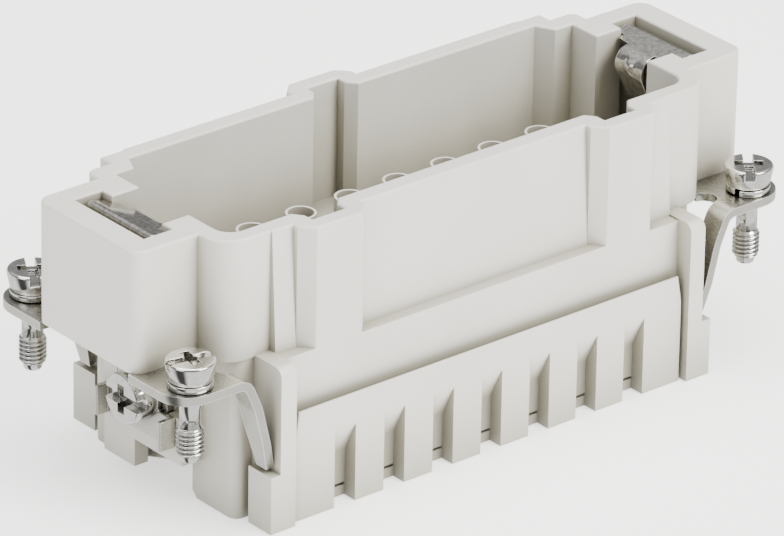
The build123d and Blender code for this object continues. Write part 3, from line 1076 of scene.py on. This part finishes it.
@dataclass
class LockWasher:
    """Split spring washer: a turned section wound once, its two ends offset in height."""

    seat: float = 18.7
    outer: float = 4.9
    inner: float = 3.2
    thickness: float = 0.7
    rise: float = 0.15
    split: float = 0.5
    edge: float = 0.09
    steps: int = 72

    def build(
        self, name: str, body: str, place: Matrix, material: bpy.types.Material, slot: str
    ) -> None:
        """Builds the washer, places it and lets it stand for its CAD node.

        Args:
            name: CAD node it stands for.
            body: CAD body it rides on.
            place: Where the washer's own frame goes, in metres.
            material: Finish of the piece.
            slot: Record slot of the finish; not used.
        """
        shape = bmesh.new()
        middle = (self.outer + self.inner) / 4
        half_gap = self.split / 2 / middle
        first = -math.pi / 2 + half_gap
        sweep = 2 * math.pi - 2 * half_gap
        sections = []
        for k in range(self.steps + 1):
            share = k / self.steps
            angle = first + sweep * share
            low = self.seat + self.rise * share
            section = (
                (self.inner / 2, low),
                (self.outer / 2, low),
                (self.outer / 2, low + self.thickness),
                (self.inner / 2, low + self.thickness),
            )
            sections.append(
                [shape.verts.new(around_axis(radius, angle, height)) for radius, height in section]
            )
        for one, two in zip(sections, sections[1:]):
            for c in range(len(one)):
                n = (c + 1) % len(one)
                shape.faces.new((one[c], one[n], two[n], two[c]))
        shape.faces.new(sections[0][::-1])
        shape.faces.new(sections[-1])
        washer = object_from(f"{name}_ring", shape, material)
        break_edges(washer, self.edge)
        washer.data.transform(place)
        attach(washer, body)
        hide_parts(name)
        log.info("%s: %d faces", name, len(washer.data.polygons))


@dataclass
class Fixings:
    """The four captive fixing screws with their lock washers."""

    finish: PlatedMetal
    spacing_x: float = 77.5
    spacing_y: float = 27.0
    # Turn of each screw's slot and each washer's split, in degrees, as they stand in the photograph
    slot_turns: tuple[float, float, float, float] = (169.0, 60.0, 52.0, 20.0)
    split_turns: tuple[float, float, float, float] = (200.0, 120.0, -73.0, 70.0)

    def screw(self) -> Screw:
        """Gives the fixing screw.

        Returns:
            The screw with its sizes, its axis on Z.
        """
        return Screw(
            seat=19.55,
            head_diameter=5.5,
            head_height=2.3,
            slot=1.1,
            shank_diameter=2.35,
            thread_diameter=3.0,
            pitch=0.5,
            thread_top=14.0,
            tip=10.0,
            head_taper=0.38,
            point_length=0.75,
        )

    def build(self) -> None:
        """Builds the screw and washer at each of the four places."""
        material = self.finish.material()
        screw = self.screw()
        washer = LockWasher()
        corners = [
            (end, row, Matrix.Translation((x * MM, y * MM, 0.0)))
            for end, x in (("left", -self.spacing_x / 2), ("right", self.spacing_x / 2))
            for row, y in (("front", -self.spacing_y / 2), ("rear", self.spacing_y / 2))
        ]
        for (end, row, corner), slot_turn, split_turn in zip(
            corners, self.slot_turns, self.split_turns
        ):
            screw.build(
                f"fixing_screw_{end}_{row}",
                f"screw_{end}_{row}",
                corner @ Matrix.Rotation(math.radians(slot_turn), 4, "Z"),
                material,
                "plated_fastener",
            )
            washer.build(
                f"lock_washer_{end}_{row}",
                f"washer_{end}_{row}",
                corner @ Matrix.Rotation(math.radians(split_turn), 4, "Z"),
                material,
                "plated_fastener",
            )


@dataclass
class EarthTerminals:
    """The clamp screws of both earth terminals, their axes along X."""

    finish: PlatedMetal
    height: float = 11.2
    head_seat: float = 35.1
    length: float = 5.6

    def build(self) -> None:
        """Builds the clamp screw of each end."""
        material = self.finish.material()
        screw = Screw(
            seat=0.0,
            head_diameter=5.8,
            head_height=2.3,
            slot=1.4,
            shank_diameter=3.5,
            thread_diameter=3.5,
            pitch=0.6,
            thread_top=0.0,
            tip=-self.length,
            head_taper=0.0,
        )
        # Turns the screw's own Z to X, its X to Y and its Y to Z
        outward = Matrix(((0, 0, 1, 0), (1, 0, 0, 0), (0, 1, 0, 0), (0, 0, 0, 1)))
        seat = Matrix.Translation((self.head_seat * MM, 0.0, self.height * MM))
        for end, turn in (("right", 0.0), ("left", math.pi)):
            screw.build(
                f"earth_screw_{end}",
                f"clamp_screw_{end}",
                Matrix.Rotation(turn, 4, "Z") @ seat @ outward,
                material,
                "plated_fastener",
            )


@dataclass(frozen=True)
class Softbox:
    """One square softbox, with its place and size in mm and its power in watts."""

    name: str
    place: tuple[float, float, float]
    size: float
    power: float
    tint: str

    def hang(self, target: Vector) -> None:
        """Hangs the softbox in its place.

        Args:
            target: Point in metres that it is aimed at.
        """
        light = bpy.data.lights.new(self.name, "AREA")
        light.shape = "SQUARE"
        light.size = self.size * MM
        light.energy = self.power
        light.color = srgb(self.tint)[:3]
        lamp = bpy.data.objects.new(self.name, light)
        lamp.location = Vector(self.place) * MM
        aim = target - lamp.location
        lamp.rotation_euler = aim.to_track_quat("-Z", "Y").to_euler()
        bpy.context.scene.collection.objects.link(lamp)


@dataclass
class Studio:
    """Pale floor, soft lights and the camera at the photograph's angle."""

    paper: StudioPaper
    eye: tuple[float, float, float] = (-445.19, -528.65, 351.85)
    right: tuple[float, float, float] = (0.77037, -0.63738, 0.01668)
    up: tuple[float, float, float] = (0.26751, 0.34686, 0.89896)
    ahead: tuple[float, float, float] = (0.57876, 0.68807, -0.43772)
    focal_px: float = 7136.6
    width_px: int = 784
    sensor_mm: float = 36.0
    nearest: float = 50.0
    farthest: float = 10000.0
    floor_half: float = 900.0
    floor_gap: float = 0.03
    softboxes: tuple[Softbox, ...] = (
        Softbox("key_softbox", (260.0, -620.0, 560.0), 520.0, 12.8, "#FFFDF8"),
        Softbox("top_softbox", (-60.0, 60.0, 760.0), 620.0, 8.0, "#FFFFFF"),
        Softbox("left_softbox", (-700.0, -60.0, 330.0), 420.0, 1.3, "#FBFCFF"),
    )
    target_height: float = 15.0
    # Light of the room by height, from the horizon and below it, at 0, to straight above, at 1
    room_light: tuple[tuple[float, float], ...] = (
        (0.0, 1.6),
        (0.1, 0.3),
        (0.3, 0.36),
        (0.5, 0.38),
        (0.7, 1.0),
        (1.0, 1.0),
    )
    room_strength: float = 0.9
    # Direction of the dark doorway that gives the turned heads their dark upright streak
    doorway: tuple[float, float, float] = (-0.993, -0.12, 0.0)
    # Cosines of the angle beside it where it starts and is full, and heights where it fades
    doorway_side: tuple[float, float] = (0.84, 0.97)
    doorway_top: tuple[float, float] = (0.05, 0.3)
    doorway_light: float = 0.06

    def build(self) -> None:
        """Builds the floor, the lights and the camera."""
        self.floor()
        self.lights()
        self.camera()

    def floor(self) -> None:
        """Lays the paper just under the wiring face."""
        shape = bmesh.new()
        bmesh.ops.create_grid(shape, x_segments=1, y_segments=1, size=self.floor_half * MM)
        floor = object_from("paper_floor", shape, self.paper.material(), False)
        floor.location.z = -self.floor_gap * MM
        floor.visible_glossy = False

    def lights(self) -> None:
        """Hangs the softboxes and lights the room around them."""
        for softbox in self.softboxes:
            softbox.hang(Vector((0.0, 0.0, self.target_height * MM)))
        self.room()

    def room(self) -> None:
        """Gives the metal a room to mirror: bright above and low down, darker between."""
        world = bpy.data.worlds.new("studio_room")
        world.use_nodes = True
        tree = world.node_tree
        background = tree.nodes["Background"]
        direction = add_node(tree, "ShaderNodeTexCoord")
        height = add_node(
            tree, "ShaderNodeSeparateXYZ", {"Vector": direction.outputs["Generated"]}
        )
        walls = add_node(
            tree,
            "ShaderNodeValToRGB",
            {"Fac": height.outputs["Z"]},
            stops=list(self.room_light),
        )
        level = add_node(
            tree,
            "ShaderNodeVectorMath",
            {0: direction.outputs["Generated"], 1: (1.0, 1.0, 0.0)},
            operation="MULTIPLY",
        )
        heading = add_node(
            tree, "ShaderNodeVectorMath", {0: level.outputs["Vector"]}, operation="NORMALIZE"
        )
        nearness = add_node(
            tree,
            "ShaderNodeVectorMath",
            {0: heading.outputs["Vector"], 1: self.doorway},
            operation="DOT_PRODUCT",
        )
        upright = add_node(
            tree,
            "ShaderNodeValToRGB",
            {"Fac": nearness.outputs["Value"]},
            stops=list(zip(self.doorway_side, (0.0, 1.0))),
        )
        below = add_node(
            tree,
            "ShaderNodeValToRGB",
            {"Fac": height.outputs["Z"]},
            stops=list(zip(self.doorway_top, (1.0, 0.0))),
        )
        dark = add_node(
            tree,
            "ShaderNodeMath",
            {0: upright.outputs["Color"], 1: below.outputs["Color"]},
            operation="MULTIPLY",
        )
        doorway = add_node(
            tree,
            "ShaderNodeValToRGB",
            {"Fac": dark.outputs["Value"]},
            stops=[(0.0, 1.0), (1.0, self.doorway_light)],
        )
        dimmed = add_node(
            tree,
            "ShaderNodeMix",
            {
                MIX_FACTOR: 1.0,
                MIX_FIRST: walls.outputs["Color"],
                MIX_SECOND: doorway.outputs["Color"],
            },
            data_type="RGBA",
            blend_type="MULTIPLY",
        )
        tree.links.new(dimmed.outputs[MIX_RESULT], background.inputs["Color"])
        background.inputs["Strength"].default_value = self.room_strength
        bpy.context.scene.world = world

    def camera(self) -> None:
        """Stands the camera where the photograph was taken."""
        lens = bpy.data.cameras.new("photo_camera")
        lens.sensor_fit = "HORIZONTAL"
        lens.sensor_width = self.sensor_mm
        lens.lens = self.focal_px / self.width_px * self.sensor_mm
        lens.clip_start = self.nearest * MM
        lens.clip_end = self.farthest * MM
        eye = bpy.data.objects.new("photo_camera", lens)
        axes = (Vector(self.right), Vector(self.up), -Vector(self.ahead))
        turn = Matrix([[axis[i] for axis in axes] for i in range(3)]).to_4x4()
        eye.matrix_world = Matrix.Translation(Vector(self.eye) * MM) @ turn
        bpy.context.scene.collection.objects.link(eye)
        bpy.context.scene.camera = eye


def main() -> None:
    """Builds every piece in order."""
    logging.basicConfig(level=logging.INFO, format="%(name)s: %(message)s")
    Studio(StudioPaper()).build()
    Mouldings(MouldedPolycarbonate()).build()
    SheetParts(BRACKET_STEEL, FASTENER_STEEL).build()
    EarthLeaves(SPRING_STEEL).build()
    Fixings(FASTENER_STEEL).build()
    EarthTerminals(FASTENER_STEEL).build()


if __name__ == "__main__":
    main()
